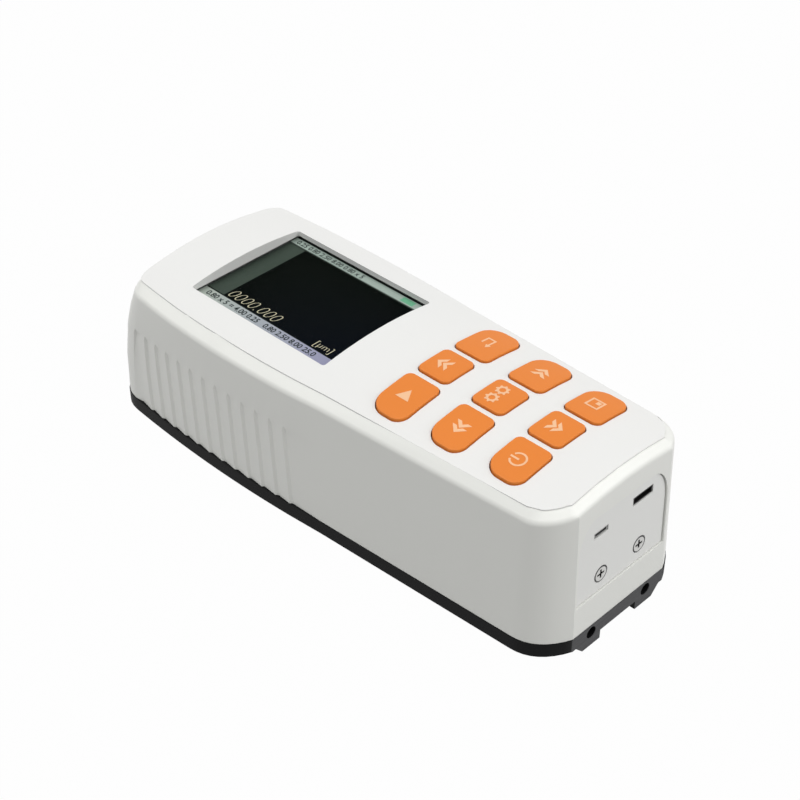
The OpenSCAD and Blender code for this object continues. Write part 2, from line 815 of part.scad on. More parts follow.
// socket shell on the edge of the main board
module port(y, z, w, h, depth, wall, hole_l) {
    x1 = panel_at(z) - panel_t / 2;
    difference() {
        box(x1 - depth, x1, y - w / 2, y + w / 2, z - h / 2, z + h / 2);
        box(x1 - hole_l, x1 + cut, y - w / 2 + wall, y + w / 2 - wall, z - h / 2 + wall,
            z + h / 2 - wall);
    }
}
port_wall = 0.4;
usb_depth = 9;
card_depth = 11;
port_hole = 6;
tongue_t = 0.8;
tongue_w = 5;

// mini USB socket with its tongue
module usb_socket() {
    color([0.7, 0.7, 0.7]) {
        port(usb_y, usb_z, usb_w, usb_h, usb_depth, port_wall, port_hole);
        box(panel_at(usb_z) - panel_t / 2 - port_hole, panel_at(usb_z) - panel_t, usb_y - tongue_w / 2,
            usb_y + tongue_w / 2, usb_z - tongue_t / 2, usb_z + tongue_t / 2);
        box(panel_at(usb_z) - panel_t / 2 - usb_depth, panel_at(usb_z) - end_wall_t - port_gap,
            usb_y - usb_w / 2,
            usb_y + usb_w / 2, main_top, usb_z - usb_h / 2);
    }
}

// small card socket beside it
module card_socket() {
    color([0.6, 0.6, 0.6]) {
        port(card_y, card_z, card_w, card_h, card_depth, port_wall, port_hole);
        box(panel_at(card_z) - panel_t / 2 - card_depth, panel_at(card_z) - end_wall_t - port_gap,
            card_y - card_w / 2, card_y + card_w / 2, main_top, card_z - card_h / 2);
    }
}

// sounder on the main board
module buzzer() {
    color([0.08, 0.08, 0.08])
        translate([st(buzzer_at_d), buzzer_at_y, main_top])
            cylinder(d = buzzer_d, h = buzzer_h);
}

// rechargeable pack
module battery_pack() {
    color([0.2, 0.3, 0.6])
        box(st(cell_d1), st(cell_d0), -cell_half, cell_half, deck_z + tray_t, deck_z + tray_t + cell_h);
}

// tray that holds the pack on the foot plate
module battery_tray() {
    g = tray_gap + tray_wall;
    color([0.25, 0.25, 0.26])
        difference() {
            box(st(cell_d1) - g, st(cell_d0) + g, -cell_half - g, cell_half + g, deck_z,
                deck_z + tray_t + tray_lip);
            box(st(cell_d1) - tray_gap, st(cell_d0) + tray_gap, -cell_half - tray_gap,
                cell_half + tray_gap,
                deck_z + tray_t, deck_z + tray_t + tray_lip + cut);
        }
}

// frame of the drive: two sills, a front plate and a rear plate
module drive_frame() {
    color([0.6, 0.61, 0.63])
        difference() {
            union() {
                for (s = [-1, 1])
                    box(st(front_d + plate_th), st(rear_d), s > 0 ? sill_in : -plate_w / 2,
                        s > 0 ? plate_w / 2 : -sill_in,
                        deck_z, deck_z + sill_t);
                box(st(front_d + plate_th), st(front_d), -plate_w / 2, plate_w / 2, deck_z, front_h);
                box(st(rear_d + plate_th), st(rear_d), -plate_w / 2, plate_w / 2, deck_z, rear_h);
            }
            bar_x(seal_bore, st(front_d + plate_th) - cut, st(front_d) + cut, 0, pickup_z);
            box(st(front_d + plate_th) - cut, st(front_d) + cut, -seal_bore / 2, seal_bore / 2,
                deck_z - cut, pickup_z);
            for (d = [front_d, rear_d]) {
                bar_x(bush_d, st(d + plate_th) - cut, st(d) + cut, 0, screw_z);
                for (s = [-1, 1])
                    bar_x(rod_d + 2 * fit, st(d + plate_th) - cut, st(d) + cut, s * rod_pitch / 2,
                        screw_z);
            }
            bar_x(motor_boss_d + 2 * fit, st(rear_d + plate_th) - cut, st(rear_d) + cut, motor_y,
                motor_z);
        }
}

// two ground rods that guide the carriage
module guide_rods() {
    color([0.8, 0.8, 0.8])
        for (s = [-1, 1])
            bar_x(rod_d, st(front_d + plate_th), st(rear_d), s * rod_pitch / 2, screw_z);
}

// flanged bushes that the lead screw turns in
module screw_bushes() {
    color([0.75, 0.6, 0.3])
        for (d = [front_d, rear_d + plate_th])
            difference() {
                union() {
                    bar_x(bush_d, d == front_d ? st(d + plate_th) : st(d),
                        d == front_d ? st(d) : st(d - plate_th), 0,
                          screw_z);
                    bar_x(bush_flange, d == front_d ? st(d) : st(d) - bush_flange_t,
                          d == front_d ? st(d) + bush_flange_t : st(d), 0, screw_z);
                }
                bar_x(screw_d + 2 * fit, st(d + plate_th) - 2 * cut, st(d - plate_th) + cut, 0, screw_z);
            }
}

// lead screw with its gear
module lead_screw() {
    color([0.72, 0.72, 0.74]) {
        bar_x(screw_d, st(front_d + plate_th), st(rear_d) + gear_gap + gear_t + shaft_end, 0, screw_z);
        translate([st(rear_d) + gear_gap, 0, screw_z])
            rotate([90, 0, 90])
                rotate(mesh_a)
                    gear(gear_n, gear_t);
        for (d = [front_d - bush_flange_t - fit, rear_d + plate_th + bush_flange_t + fit + collar_w])
            bar_x(collar_d, st(d), st(d) + collar_w, 0, screw_z);
    }
}
collar_d = 7;
collar_w = 2;

// motor with its boss in the rear plate
module drive_motor() {
    color([0.7, 0.7, 0.72])
        difference() {
            union() {
                bar_x(motor_d, st(rear_d + plate_th) - motor_l, st(rear_d + plate_th), motor_y, motor_z);
                bar_x(motor_boss_d, st(rear_d + plate_th), st(rear_d), motor_y, motor_z);
            }
            bar_x(shaft_d + 2 * fit, st(rear_d + plate_th) - motor_l / 2, st(rear_d) + cut,
                motor_y, motor_z);
        }
}

// pinion on the motor's shaft
module motor_pinion() {
    color([0.75, 0.65, 0.35]) {
        bar_x(shaft_d, st(rear_d + plate_th) - motor_l / 2 + fit,
            st(rear_d) + gear_gap + gear_t + shaft_end,
              motor_y, motor_z);
        translate([st(rear_d) + gear_gap, motor_y, motor_z])
            rotate([90, 0, 90])
                rotate(mesh_a + 180 + 180 / pinion_n)
                    gear(pinion_n, gear_t);
    }
}

// carriage on the rods, with the nut for the screw and the arm that holds the pickup
module carriage() {
    x0 = st(carriage_d0 + carriage_l);
    color([0.16, 0.16, 0.17])
        difference() {
            union() {
                box(x0, x0 + carriage_l, -carriage_half, carriage_half, carriage_z0, carriage_z1);
                box(x0, x0 + arm_l, -arm_half, arm_half, pickup_z - pickup_d / 2, carriage_z0);
            }
            bar_x(screw_d + 2 * fit, x0 - cut, x0 + carriage_l + cut, 0, screw_z);
            for (s = [-1, 1])
                bar_x(rod_d + 2 * fit, x0 - cut, x0 + carriage_l + cut, s * rod_pitch / 2, screw_z);
            bar_x(socket_d + 2 * fit, x0 - cut, x0 + socket_l, 0, pickup_z);
        }
}

// switches near the two ends of the stroke
module limit_switches() {
    color([0.1, 0.1, 0.12])
        for (d = [switch_front_d, switch_rear_d])
            box(st(d), st(d) + switch_l, switch_y, switch_y + switch_w, deck_z + sill_t,
                deck_z + sill_t + switch_h);
}

// pickup tube, plugged into the carriage, with the slit for the stylus
module pickup_tube() {
    x0 = x_nose - pickup_out;
    x1 = st(carriage_d0 + carriage_l);
    color([0.65, 0.66, 0.68])
        difference() {
            union() {
                bar_x(pickup_d, x0, x1, 0, pickup_z);
                bar_x(socket_d, x1, x1 + socket_l - cut, 0, pickup_z);
            }
            bar_x(tube_bore, x0 - cut, x0 + pivot_back + hub_d, 0, pickup_z);
            box(x0 - cut, x0 + slit_l, -slit_w / 2, slit_w / 2, pickup_z - pickup_d, pickup_z);
            translate([x0 + pivot_back, pickup_d, pickup_z])
                rotate([90, 0, 0])
                    cylinder(d = pivot_d + 2 * fit, h = 2 * pickup_d);
        }
}

// round skid under the tube, astride the slit
module pickup_skid() {
    x0 = x_nose - pickup_out;
    color([0.55, 0.1, 0.12])
        difference() {
            translate([x0 + skid_back, slit_w / 2 + skid_w, skid_clear + skid_r])
                rotate([90, 0, 0])
                    cylinder(r = skid_r, h = slit_w + 2 * skid_w);
            bar_x(pickup_d, x0 - cut, x0 + 2 * nose_l, 0, pickup_z);
            box(x0 - cut, x0 + 2 * nose_l, -slit_w / 2, slit_w / 2, -cut, pickup_z);
        }
}

// pin that the stylus arm swings on
module stylus_pin() {
    color([0.7, 0.7, 0.7])
        translate([x_nose - pickup_out + pivot_back, pickup_d / 2 - fit, pickup_z])
            rotate([90, 0, 0])
                cylinder(d = pivot_d, h = pickup_d - 2 * fit);
}

// stylus arm with its tip
module stylus_arm() {
    x0 = x_nose - pickup_out;
    color([0.75, 0.75, 0.75])
        difference() {
            union() {
                bar_x(stylus_d, x0 + tip_back - tip_d / 2, x0 + pivot_back, 0, pickup_z);
                translate([x0 + pivot_back, hub_w / 2, pickup_z])
                    rotate([90, 0, 0])
                        cylinder(d = hub_d, h = hub_w);
                translate([x0 + tip_back, 0, tip_clear + tip_cone])
                    cylinder(d = tip_d, h = pickup_z - tip_clear - tip_cone);
                translate([x0 + tip_back, 0, tip_clear])
                    cylinder(d1 = tip_d / 6, d2 = tip_d, h = tip_cone);
            }
            translate([x0 + pivot_back, hub_w, pickup_z])
                rotate([90, 0, 0])
                    cylinder(d = pivot_d + 2 * fit, h = 2 * hub_w);
        }
}

// ring that keeps dust out round the pickup
module pickup_seal() {
    color([0.08, 0.08, 0.08])
        difference() {
            bar_x(seal_d, st(front_d + plate_th) - seal_t, st(front_d + plate_th), 0, pickup_z);
            bar_x(seal_bore, st(front_d + plate_th) - seal_t - cut, st(front_d + plate_th) + cut,
                0, pickup_z);
        }
}

foot_plate();
housing();
top_cover();
rear_panel();
rear_screws();
foot_screws();
display_window();
display_panel();
display_frame();
display_screws();
key_start();
key_up();
key_return();
key_left();
key_enter();
key_right();
key_power();
key_down();
key_save();
keypad_mat();
keypad_board();
keypad_spacers();
main_board();
board_posts();
usb_socket();
card_socket();
buzzer();
battery_pack();
battery_tray();
drive_frame();
guide_rods();
screw_bushes();
lead_screw();
drive_motor();
motor_pinion();
carriage();
limit_switches();
pickup_tube();
pickup_skid();
stylus_pin();
stylus_arm();
pickup_seal();
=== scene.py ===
# Surface roughness tester: a white housing on a black railed foot, with a display, nine orange keys
# and a small pickup in the nose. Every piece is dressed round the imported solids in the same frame:
# metres, +X to the rear end with the sockets, -X to the nose, +Z up.
import json
import math

import bpy
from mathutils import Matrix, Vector


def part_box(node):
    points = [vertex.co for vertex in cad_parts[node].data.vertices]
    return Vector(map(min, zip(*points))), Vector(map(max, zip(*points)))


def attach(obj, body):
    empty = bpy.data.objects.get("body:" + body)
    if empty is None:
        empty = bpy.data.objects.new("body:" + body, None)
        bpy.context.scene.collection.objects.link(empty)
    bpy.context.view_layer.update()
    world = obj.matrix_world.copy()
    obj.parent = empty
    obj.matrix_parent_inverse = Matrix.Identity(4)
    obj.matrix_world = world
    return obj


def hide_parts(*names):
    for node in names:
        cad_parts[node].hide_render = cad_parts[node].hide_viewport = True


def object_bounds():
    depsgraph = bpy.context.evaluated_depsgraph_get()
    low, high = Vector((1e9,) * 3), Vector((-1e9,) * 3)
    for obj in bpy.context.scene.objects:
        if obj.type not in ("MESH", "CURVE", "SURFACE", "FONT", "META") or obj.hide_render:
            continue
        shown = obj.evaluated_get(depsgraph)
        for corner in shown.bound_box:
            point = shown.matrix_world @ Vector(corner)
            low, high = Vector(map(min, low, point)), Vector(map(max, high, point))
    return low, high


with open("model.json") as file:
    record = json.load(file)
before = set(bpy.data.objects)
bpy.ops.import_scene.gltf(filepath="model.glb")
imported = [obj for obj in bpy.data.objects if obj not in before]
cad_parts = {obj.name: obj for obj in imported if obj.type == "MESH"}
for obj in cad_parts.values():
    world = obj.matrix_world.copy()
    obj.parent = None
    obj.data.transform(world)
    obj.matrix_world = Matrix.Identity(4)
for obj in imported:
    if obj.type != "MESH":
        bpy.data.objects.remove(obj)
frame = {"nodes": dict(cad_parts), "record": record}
cad_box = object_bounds()


# Camera. It looks down on the top from beyond the rear corner on the display's near side.
# A medium-long lens, so the nose looks only a little smaller than the rear end.
MM = 0.001
view_azimuth = math.radians(44.22)
view_elevation = math.radians(37.667)
view_distance = 453.2 * MM
view_target = Vector((9.93, 2.35, 26.45)) * MM
lens_mm = 78.75
nearest_seen = 10 * MM
to_camera = Vector((math.sin(view_azimuth) * math.cos(view_elevation),
                    -math.cos(view_azimuth) * math.cos(view_elevation),
                    math.sin(view_elevation)))
bpy.ops.object.camera_add(location=view_target + to_camera * view_distance,
                          rotation=(-to_camera).to_track_quat("-Z", "Y").to_euler())
camera = bpy.context.object
camera.data.lens = lens_mm
camera.data.clip_start = nearest_seen
bpy.context.scene.camera = camera
bpy.context.scene.view_settings.view_transform = "Standard"


# Studio. A white floor that keeps a faint shadow, an even pale room and two broad lamps: one high over
# the nose and the near side, and a weaker one beyond the far rear corner. The near side stays light grey.
class Wire:
    """An output of a shader node, or the start of a tree. Sums on it add Math nodes to the tree."""

    def __init__(self, tree, socket=None):
        self.tree = tree
        self.socket = socket

    def node(self, kind, settings=None, inputs=None, output=0):
        """Adds a node: its settings come first, then the values or wires of its sockets."""
        made = self.tree.nodes.new(kind)
        for name, value in (settings or {}).items():
            setattr(made, name, value)
        for key, value in (inputs or {}).items():
            if isinstance(value, Wire):
                self.tree.links.new(value.socket, made.inputs[key])
            else:
                made.inputs[key].default_value = value
        return Wire(self.tree, made.outputs[output])

    def math(self, operation, first, second=0.0):
        return self.node("ShaderNodeMath", {"operation": operation}, {0: first, 1: second})

    def __add__(self, other):
        return self.math("ADD", self, other)

    def __radd__(self, other):
        return self.math("ADD", other, self)

    def __sub__(self, other):
        return self.math("SUBTRACT", self, other)

    def __rsub__(self, other):
        return self.math("SUBTRACT", other, self)

    def __mul__(self, other):
        return self.math("MULTIPLY", self, other)

    def __rmul__(self, other):
        return self.math("MULTIPLY", other, self)

    def __gt__(self, other):
        return self.math("GREATER_THAN", self, other)

    def __lt__(self, other):
        return self.math("LESS_THAN", self, other)

    def mix(self, low, high):
        """Colour or wire low where this is 0, high where it is 1."""
        return self.node("ShaderNodeMix", {"data_type": "RGBA"}, {0: self, 6: low, 7: high}, 2)


def link(wire, socket):
    """Feeds a wire into a shader's socket."""
    wire.tree.links.new(wire.socket, socket)


def new_finish(name, roughness, metallic=0.0, shine=0.5):
    """A material with a Principled shader: returns it, its shader's inputs and a wire to start from."""
    material = bpy.data.materials.new(name)
    material.use_nodes = True
    inputs = material.node_tree.nodes["Principled BSDF"].inputs
    inputs["Roughness"].default_value = roughness
    inputs["Metallic"].default_value = metallic
    inputs["Specular IOR Level"].default_value = shine
    return material, inputs, Wire(material.node_tree)


def finish(piece, material):
    """Gives a piece one material all over."""
    piece.data.materials.clear()
    piece.data.materials.append(material)


def seen_white(start):
    """1 for rays from the camera, from gloss and through glass, which all see plain white."""
    camera_ray, gloss_ray, glass_ray = (start.node("ShaderNodeLightPath", output=f"Is {kind} Ray")
                                        for kind in ("Camera", "Glossy", "Transmission"))
    return start.math("MAXIMUM", camera_ray, start.math("MAXIMUM", gloss_ray, glass_ray))


floor_reach = 3.0
floor_drop = 0.05 * MM
floor_white = (0.26, 0.26, 0.26, 1)
floor_share = 0.015
bpy.ops.object.select_all(action="DESELECT")
bpy.ops.mesh.primitive_plane_add(size=floor_reach, location=(0, 0, -floor_drop))
floor = bpy.context.object
floor.name = "studio_floor"
floor_finish, inputs, start = new_finish("studio_white", 0.9)
inputs["Base Color"].default_value = floor_white
lit = Wire(start.tree, start.tree.nodes["Principled BSDF"].outputs[0])
glow = start.node("ShaderNodeEmission", inputs={"Color": (1, 1, 1, 1), "Strength": 1.0})
plain = seen_white(start) * (1 - floor_share)
shown = start.node("ShaderNodeMixShader", inputs={0: plain, 1: lit, 2: glow})
link(shown, start.tree.nodes["Material Output"].inputs["Surface"])
finish(floor, floor_finish)

room_light = 0.36
room = bpy.data.worlds.new("studio_room")
room.use_nodes = True
bpy.context.scene.world = room
start = Wire(room.node_tree)
background = room.node_tree.nodes["Background"].inputs
background["Color"].default_value = (1, 1, 1, 1)
link(seen_white(start) * (1 - room_light) + room_light, background["Strength"])


def studio_lamp(name, place, aim, size, watts):
    """A square soft lamp that looks at a point."""
    turn = (Vector(aim) - Vector(place)).to_track_quat("-Z", "Y").to_euler()
    bpy.ops.object.light_add(type="AREA", location=place, rotation=turn)
    lamp = bpy.context.object
    lamp.name = name
    lamp.data.size = size
    lamp.data.energy = watts


studio_lamp("lamp_over_top", (-0.26, -0.41, 1.38), (0, 0, 0.03), 1.2, 12.8)
studio_lamp("lamp_rear_end", (1.025, 0.455, 0.76), (0.05, 0, 0.03), 1.2, 8.8)


# Foot plate. A black anodised aluminium plate with two milled rails, screwed up into the housing.
# Its ends are sawn and milled after anodising, so the rear end is a lighter, streaked grey.
solids = frame["nodes"]
record = frame["record"]
body_of = {node: body for body, group in record["behaviour"]["bodies"].items() for node in group}
merge_gap = 0.002 * MM
flat_deg = 0.3


def set_only(piece):
    """Makes one object the only selected and active one."""
    bpy.ops.object.select_all(action="DESELECT")
    piece.select_set(True)
    bpy.context.view_layer.objects.active = piece


def modify(piece, name, kind, **settings):
    """Gives the active piece a modifier with its settings, and applies it."""
    modifier = piece.modifiers.new(name, kind)
    for setting, value in settings.items():
        setattr(modifier, setting, value)
    bpy.ops.object.modifier_apply(modifier=modifier.name)


def dressed(node, name, edge, sharp_deg=28, steps=2, shape=None):
    """A copy of a solid's mesh, shaped and with its sharp edges rounded, that stands for the solid."""
    piece = bpy.data.objects.new(name, solids[node].data.copy())
    bpy.context.scene.collection.objects.link(piece)
    set_only(piece)
    bpy.ops.mesh.customdata_custom_splitnormals_clear()
    bpy.ops.object.mode_set(mode="EDIT")
    bpy.ops.mesh.select_all(action="SELECT")
    bpy.ops.mesh.remove_doubles(threshold=merge_gap)
    bpy.ops.mesh.dissolve_limited(angle_limit=math.radians(flat_deg))
    bpy.ops.object.mode_set(mode="OBJECT")
    if shape:
        shape(piece.data)
    modify(piece, "rounded_edges", "BEVEL", width=edge, segments=steps, limit_method="ANGLE",
           angle_limit=math.radians(sharp_deg))
    bpy.ops.object.shade_smooth_by_angle(angle=math.radians(sharp_deg))
    modify(piece, "even_shade", "WEIGHTED_NORMAL", keep_sharp=True)
    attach(piece, body_of[node])
    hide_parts(node)
    return piece


def place_on(start):
    """The place on the piece."""
    return start.node("ShaderNodeTexCoord", output="Object")


def places(start):
    """The place on the piece, and its x, y and z in millimetres."""
    place = place_on(start)
    split = start.node("ShaderNodeSeparateXYZ", inputs={0: place}).socket.node
    return (place, *(Wire(start.tree, out) * (1 / MM) for out in split.outputs))


def noise(place, scale, detail):
    """An uneven shade over a piece, from 0 to 1, with so many lumps in a metre."""
    return place.node("ShaderNodeTexNoise", inputs={"Vector": place, "Scale": scale, "Detail": detail})


def bump(height, strength, depth):
    """A surface that follows a height, so deep at a height of 1."""
    return height.node("ShaderNodeBump", inputs={"Strength": strength, "Distance": depth, "Height": height})


def grey(level):
    """A slightly cool grey."""
    return (level, level, level * 1.03, 1)


milled_depth = 0.15
anodised, inputs, start = new_finish("black_anodised", 0.5, shine=0.06)
place, x, *_ = places(start)
grain = noise(place, 3500.0, 4.0)
cloud = noise(place, 60.0, 3.0)
rear_face = x > (cad_box[1].x / MM - milled_depth)
saw = start.node("ShaderNodeMapping", inputs={"Vector": place, "Scale": (1, 60, 2600)})
streak = noise(saw, 1.0, 3.0)
black = cloud.mix(grey(0.0065), grey(0.011))
milled = streak.mix(grey(0.065), grey(0.13))
link(rear_face.mix(black, milled), inputs["Base Color"])
link(grain * 0.16 + 0.42, inputs["Roughness"])
link(bump(grain, 0.25, 0.01 * MM), inputs["Normal"])
foot = dressed("foot_plate", "foot_plate_dressed", 0.3 * MM)
finish(foot, anodised)


def metal(name, colour, roughness, line_size, line_height, stretch=(1, 1, 1)):
    """A turned, ground or rolled metal with fine lines in it."""
    material, inputs, start = new_finish(name, roughness, 1.0)
    place = place_on(start)
    lay = start.node("ShaderNodeMapping", inputs={"Vector": place, "Scale": stretch})
    lines = noise(lay, 1 / line_size, 4.0)
    link(lines.mix((*[c * 0.82 for c in colour], 1), (*colour, 1)), inputs["Base Color"])
    link(lines * 0.2 + (roughness - 0.1), inputs["Roughness"])
    link(bump(lines, 0.3, line_height), inputs["Normal"])
    return material


black_oxide = metal("black_oxide_steel", (0.05, 0.05, 0.055), 0.42, 0.25 * MM, 0.004 * MM)
foot_screws = dressed("foot_screws", "foot_screws_dressed", 0.1 * MM)
finish(foot_screws, black_oxide)


# Traverse drive. An alloy frame bolted on the foot carries two ground rods and a lead screw in brass
# bushes. A small motor turns the screw through a brass pinion, and the carriage runs along the rods.
frame_alloy = metal("milled_alloy", (0.62, 0.63, 0.65), 0.42, 0.5 * MM, 0.006 * MM, (0.2, 1, 1))
ground_steel = metal("ground_steel", (0.66, 0.66, 0.67), 0.22, 0.12 * MM, 0.002 * MM, (4, 1, 1))
brass = metal("turned_brass", (0.72, 0.52, 0.22), 0.3, 0.2 * MM, 0.003 * MM)
can_steel = metal("nickel_can", (0.55, 0.55, 0.54), 0.3, 0.6 * MM, 0.003 * MM)
dark_alloy = metal("dark_anodised_alloy", (0.11, 0.12, 0.14), 0.45, 0.4 * MM, 0.005 * MM, (0.3, 1, 1))
for node, material in (("drive_frame", frame_alloy), ("guide_rods", ground_steel), ("screw_bushes", brass),
                       ("drive_motor", can_steel), ("motor_pinion", brass), ("carriage", dark_alloy)):
    finish(solids[node], material)

thread_pitch = 3.5
screw_steel, inputs, start = new_finish("rolled_thread_steel", 0.3, 1.0)
place, x, y, z = places(start)
screw_axis_z = sum(corner.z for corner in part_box("lead_screw")) / 2 / MM
turn = start.math("ARCTAN2", z - screw_axis_z, y) * (1 / math.tau)
thread = start.math("SINE", (x * (1 / thread_pitch) + turn) * math.tau)
wear = noise(place, 1500.0, 3.0)
link(wear.mix((0.5, 0.5, 0.5, 1), (0.66, 0.66, 0.65, 1)), inputs["Base Color"])
link(wear * 0.15 + 0.22, inputs["Roughness"])
link(bump(thread, 0.8, 0.3 * MM), inputs["Normal"])
finish(solids["lead_screw"], screw_steel)


def moulded(name, colour, gloss, grain_size, grain_height, mottle, shine=0.5):
    """A moulded plastic: fine grain in the surface, slight change of gloss and shade over it."""
    material, inputs, start = new_finish(name, gloss, shine=shine)
    place = place_on(start)
    grain = noise(place, 1 / grain_size, 3.0)
    cloud = noise(place, 35.0, 2.0)
    dark = (*[c * (1 - mottle) for c in colour], 1)
    light = (*[min(1, c * (1 + mottle)) for c in colour], 1)
    link(cloud.mix(dark, light), inputs["Base Color"])
    link(cloud * 0.08 + grain * 0.06 + (gloss - 0.07), inputs["Roughness"])
    link(bump(grain, 0.3, grain_height), inputs["Normal"])
    return material


black_plastic = moulded("black_plastic", (0.018, 0.018, 0.02), 0.45, 0.4 * MM, 0.006 * MM, 0.1)
finish(solids["limit_switches"], black_plastic)


# Pickup. A slim steel tube with a slit end that the carriage pushes out through a rubber seal in the
# nose. A ruby skid rides on the work, and the stylus rocks on its pin inside the slit.
tube_steel = metal("brushed_tube_steel", (0.58, 0.58, 0.59), 0.28, 0.15 * MM, 0.003 * MM, (0.15, 1, 1))
tube = dressed("pickup_tube", "pickup_tube_dressed", 0.12 * MM)
finish(tube, tube_steel)
ruby = moulded("ruby_skid", (0.36, 0.012, 0.02), 0.12, 0.6 * MM, 0.001 * MM, 0.12)
skid = dressed("pickup_skid", "pickup_skid_dressed", 0.1 * MM)
finish(skid, ruby)
for node in ("stylus_pin", "stylus_arm"):
    finish(dressed(node, node + "_dressed", 0.06 * MM), ground_steel)
rubber = moulded("seal_rubber", (0.022, 0.022, 0.023), 0.7, 0.25 * MM, 0.012 * MM, 0.15, shine=0.3)
seal = dressed("pickup_seal", "pickup_seal_dressed", 0.25 * MM)
finish(seal, rubber)


# Battery and boards. A wrapped cell in a black tray on the foot, the main board on brass posts with the
# two sockets and a sounder on it, and the key board with its soft mat on brass spacers above.
wrap = moulded("battery_wrap", (0.02, 0.07, 0.28), 0.3, 2.5 * MM, 0.04 * MM, 0.12)
finish(solids["battery_pack"], wrap)
for node in ("battery_tray", "buzzer"):
    finish(solids[node], black_plastic)
mask_green, inputs, start = new_finish("board_mask", 0.35)
place = place_on(start)
tracks = start.node("ShaderNodeTexBrick", {"offset": 0.37, "squash": 0.6, "squash_frequency": 3},
                    {"Vector": place, "Scale": 420.0, "Mortar Size": 0.028,
                     "Color1": (0.006, 0.07, 0.028, 1), "Color2": (0.008, 0.085, 0.034, 1),
                     "Mortar": (0.02, 0.15, 0.06, 1)})
weave = noise(place, 900.0, 3.0)
link(tracks, inputs["Base Color"])
link(weave * 0.15 + 0.28, inputs["Roughness"])
link(bump(weave, 0.3, 0.02 * MM), inputs["Normal"])
for node in ("main_board", "keypad_board"):
    finish(solids[node], mask_green)
for node in ("board_posts", "keypad_spacers"):
    finish(solids[node], brass)
finish(solids["keypad_mat"], moulded("silicone_mat", (0.55, 0.55, 0.52), 0.6, 0.8 * MM, 0.01 * MM, 0.05))


# Display. A grey tray holds the panel up under the clear window. The panel shows a pale bar along each
# long side, an olive column at the nose end, and the reading with its unit in pale figures.
finish(solids["display_frame"], moulded("grey_tray", (0.3, 0.3, 0.31), 0.5, 0.5 * MM, 0.008 * MM, 0.06))
plated = metal("plated_steel", (0.62, 0.62, 0.6), 0.3, 0.3 * MM, 0.004 * MM)
finish(solids["display_screws"], plated)
panel_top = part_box("display_panel")[1].z
olive_end_x = -40.0
far_bar_y = 17.1
far_bar_end_y = 19.7
far_line_y = 16.5
far_thread_y = (16.75, 16.9)
near_bar_y = -13.4
near_line_y = -13.0


def rising(along, first, over):
    """From 0 at a first place to 1 so many millimetres on, which can be a step back."""
    return along.node("ShaderNodeMath", {"operation": "MULTIPLY_ADD", "use_clamp": True},
                      {0: along, 1: 1 / over, 2: -first / over})


lit_panel, inputs, start = new_finish("lit_panel", 0.35, shine=0.012)
place, x, y, _ = places(start)
drift = noise(place, 45.0, 2.0)
sparkle = noise(place, 1800.0, 2.0)
# The dark field turns a little blue toward the rear end and the near side, and the near bar turns from pale
# green to lavender toward the rear end: both are a painted reflection in the window.
toward_rear = rising(x, -45, 50)
toward_near = rising(y, 20, -40)
dark_field_and_reflection = (toward_rear * toward_near).mix((0.0009, 0.0021, 0.0011, 1), (0.0014, 0.0026, 0.007, 1))
olive = (drift * 0.5 + sparkle * 0.3).mix((0.045, 0.062, 0.049, 1), (0.066, 0.086, 0.071, 1))
far_pale = (drift * 0.5 + sparkle * 0.5).mix((0.33, 0.41, 0.36, 1), (0.46, 0.54, 0.49, 1))
near_pale_and_reflection = toward_rear.mix((0.40, 0.45, 0.40, 1), (0.31, 0.31, 0.46, 1))
line_dark = (0.006, 0.009, 0.008, 1)
thread_pale = (0.12, 0.15, 0.13, 1)
shown = (x < olive_end_x).mix(dark_field_and_reflection, olive)
shown = (y > far_line_y).mix(shown, line_dark)
shown = ((y > far_thread_y[0]) * (y < far_thread_y[1])).mix(shown, thread_pale)
shown = ((y > far_bar_y) * (y < far_bar_end_y)).mix(shown, far_pale)
shown = (y < near_line_y).mix(shown, line_dark)
shown = (y < near_bar_y).mix(shown, near_pale_and_reflection)
link(shown, inputs["Base Color"])
link(shown, inputs["Emission Color"])
inputs["Emission Strength"].default_value = 0.18
link(sparkle * 0.1 + 0.3, inputs["Roughness"])
finish(solids["display_panel"], lit_panel)


def figure_ink(name, colour, glow):
    """A figure on the panel: one colour with a faint change of shade, lit a little from behind."""
    material, inputs, start = new_finish(name, 0.5, shine=0.04)
    place = place_on(start)
    shade = noise(place, 900.0, 2.0)
    ink = shade.mix((*[c * 0.85 for c in colour], 1), (*colour, 1))
    link(ink, inputs["Base Color"])
    link(ink, inputs["Emission Color"])
    inputs["Emission Strength"].default_value = glow
    return material


cream_ink = figure_ink("cream_figures", (0.78, 0.74, 0.52), 0.25)
dark_ink = figure_ink("dark_figures", (0.03, 0.04, 0.04), 0.0)
green_ink = figure_ink("battery_green", (0.19, 0.5, 0.31), 0.15)
figure_lift = 0.01 * MM
figure_thick = 0.02 * MM
text_size = 3 * MM


def settle(piece, name, width, height, corner, material):
    """Fits a flat mesh into a width and height with its low corner at a place on the panel."""
    set_only(piece)
    piece.name = name
    low = Vector([min(v.co[i] for v in piece.data.vertices) for i in range(3)])
    high = Vector([max(v.co[i] for v in piece.data.vertices) for i in range(3)])
    piece.scale = (width * MM / (high.x - low.x), height * MM / (high.y - low.y), 1)
    piece.location = (corner[0] * MM - low.x * piece.scale.x, corner[1] * MM - low.y * piece.scale.y,
                      panel_top + figure_lift)
    bpy.ops.object.transform_apply()
    modify(piece, "ink", "SOLIDIFY", thickness=figure_thick, offset=1)
    finish(piece, material)
    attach(piece, "body")


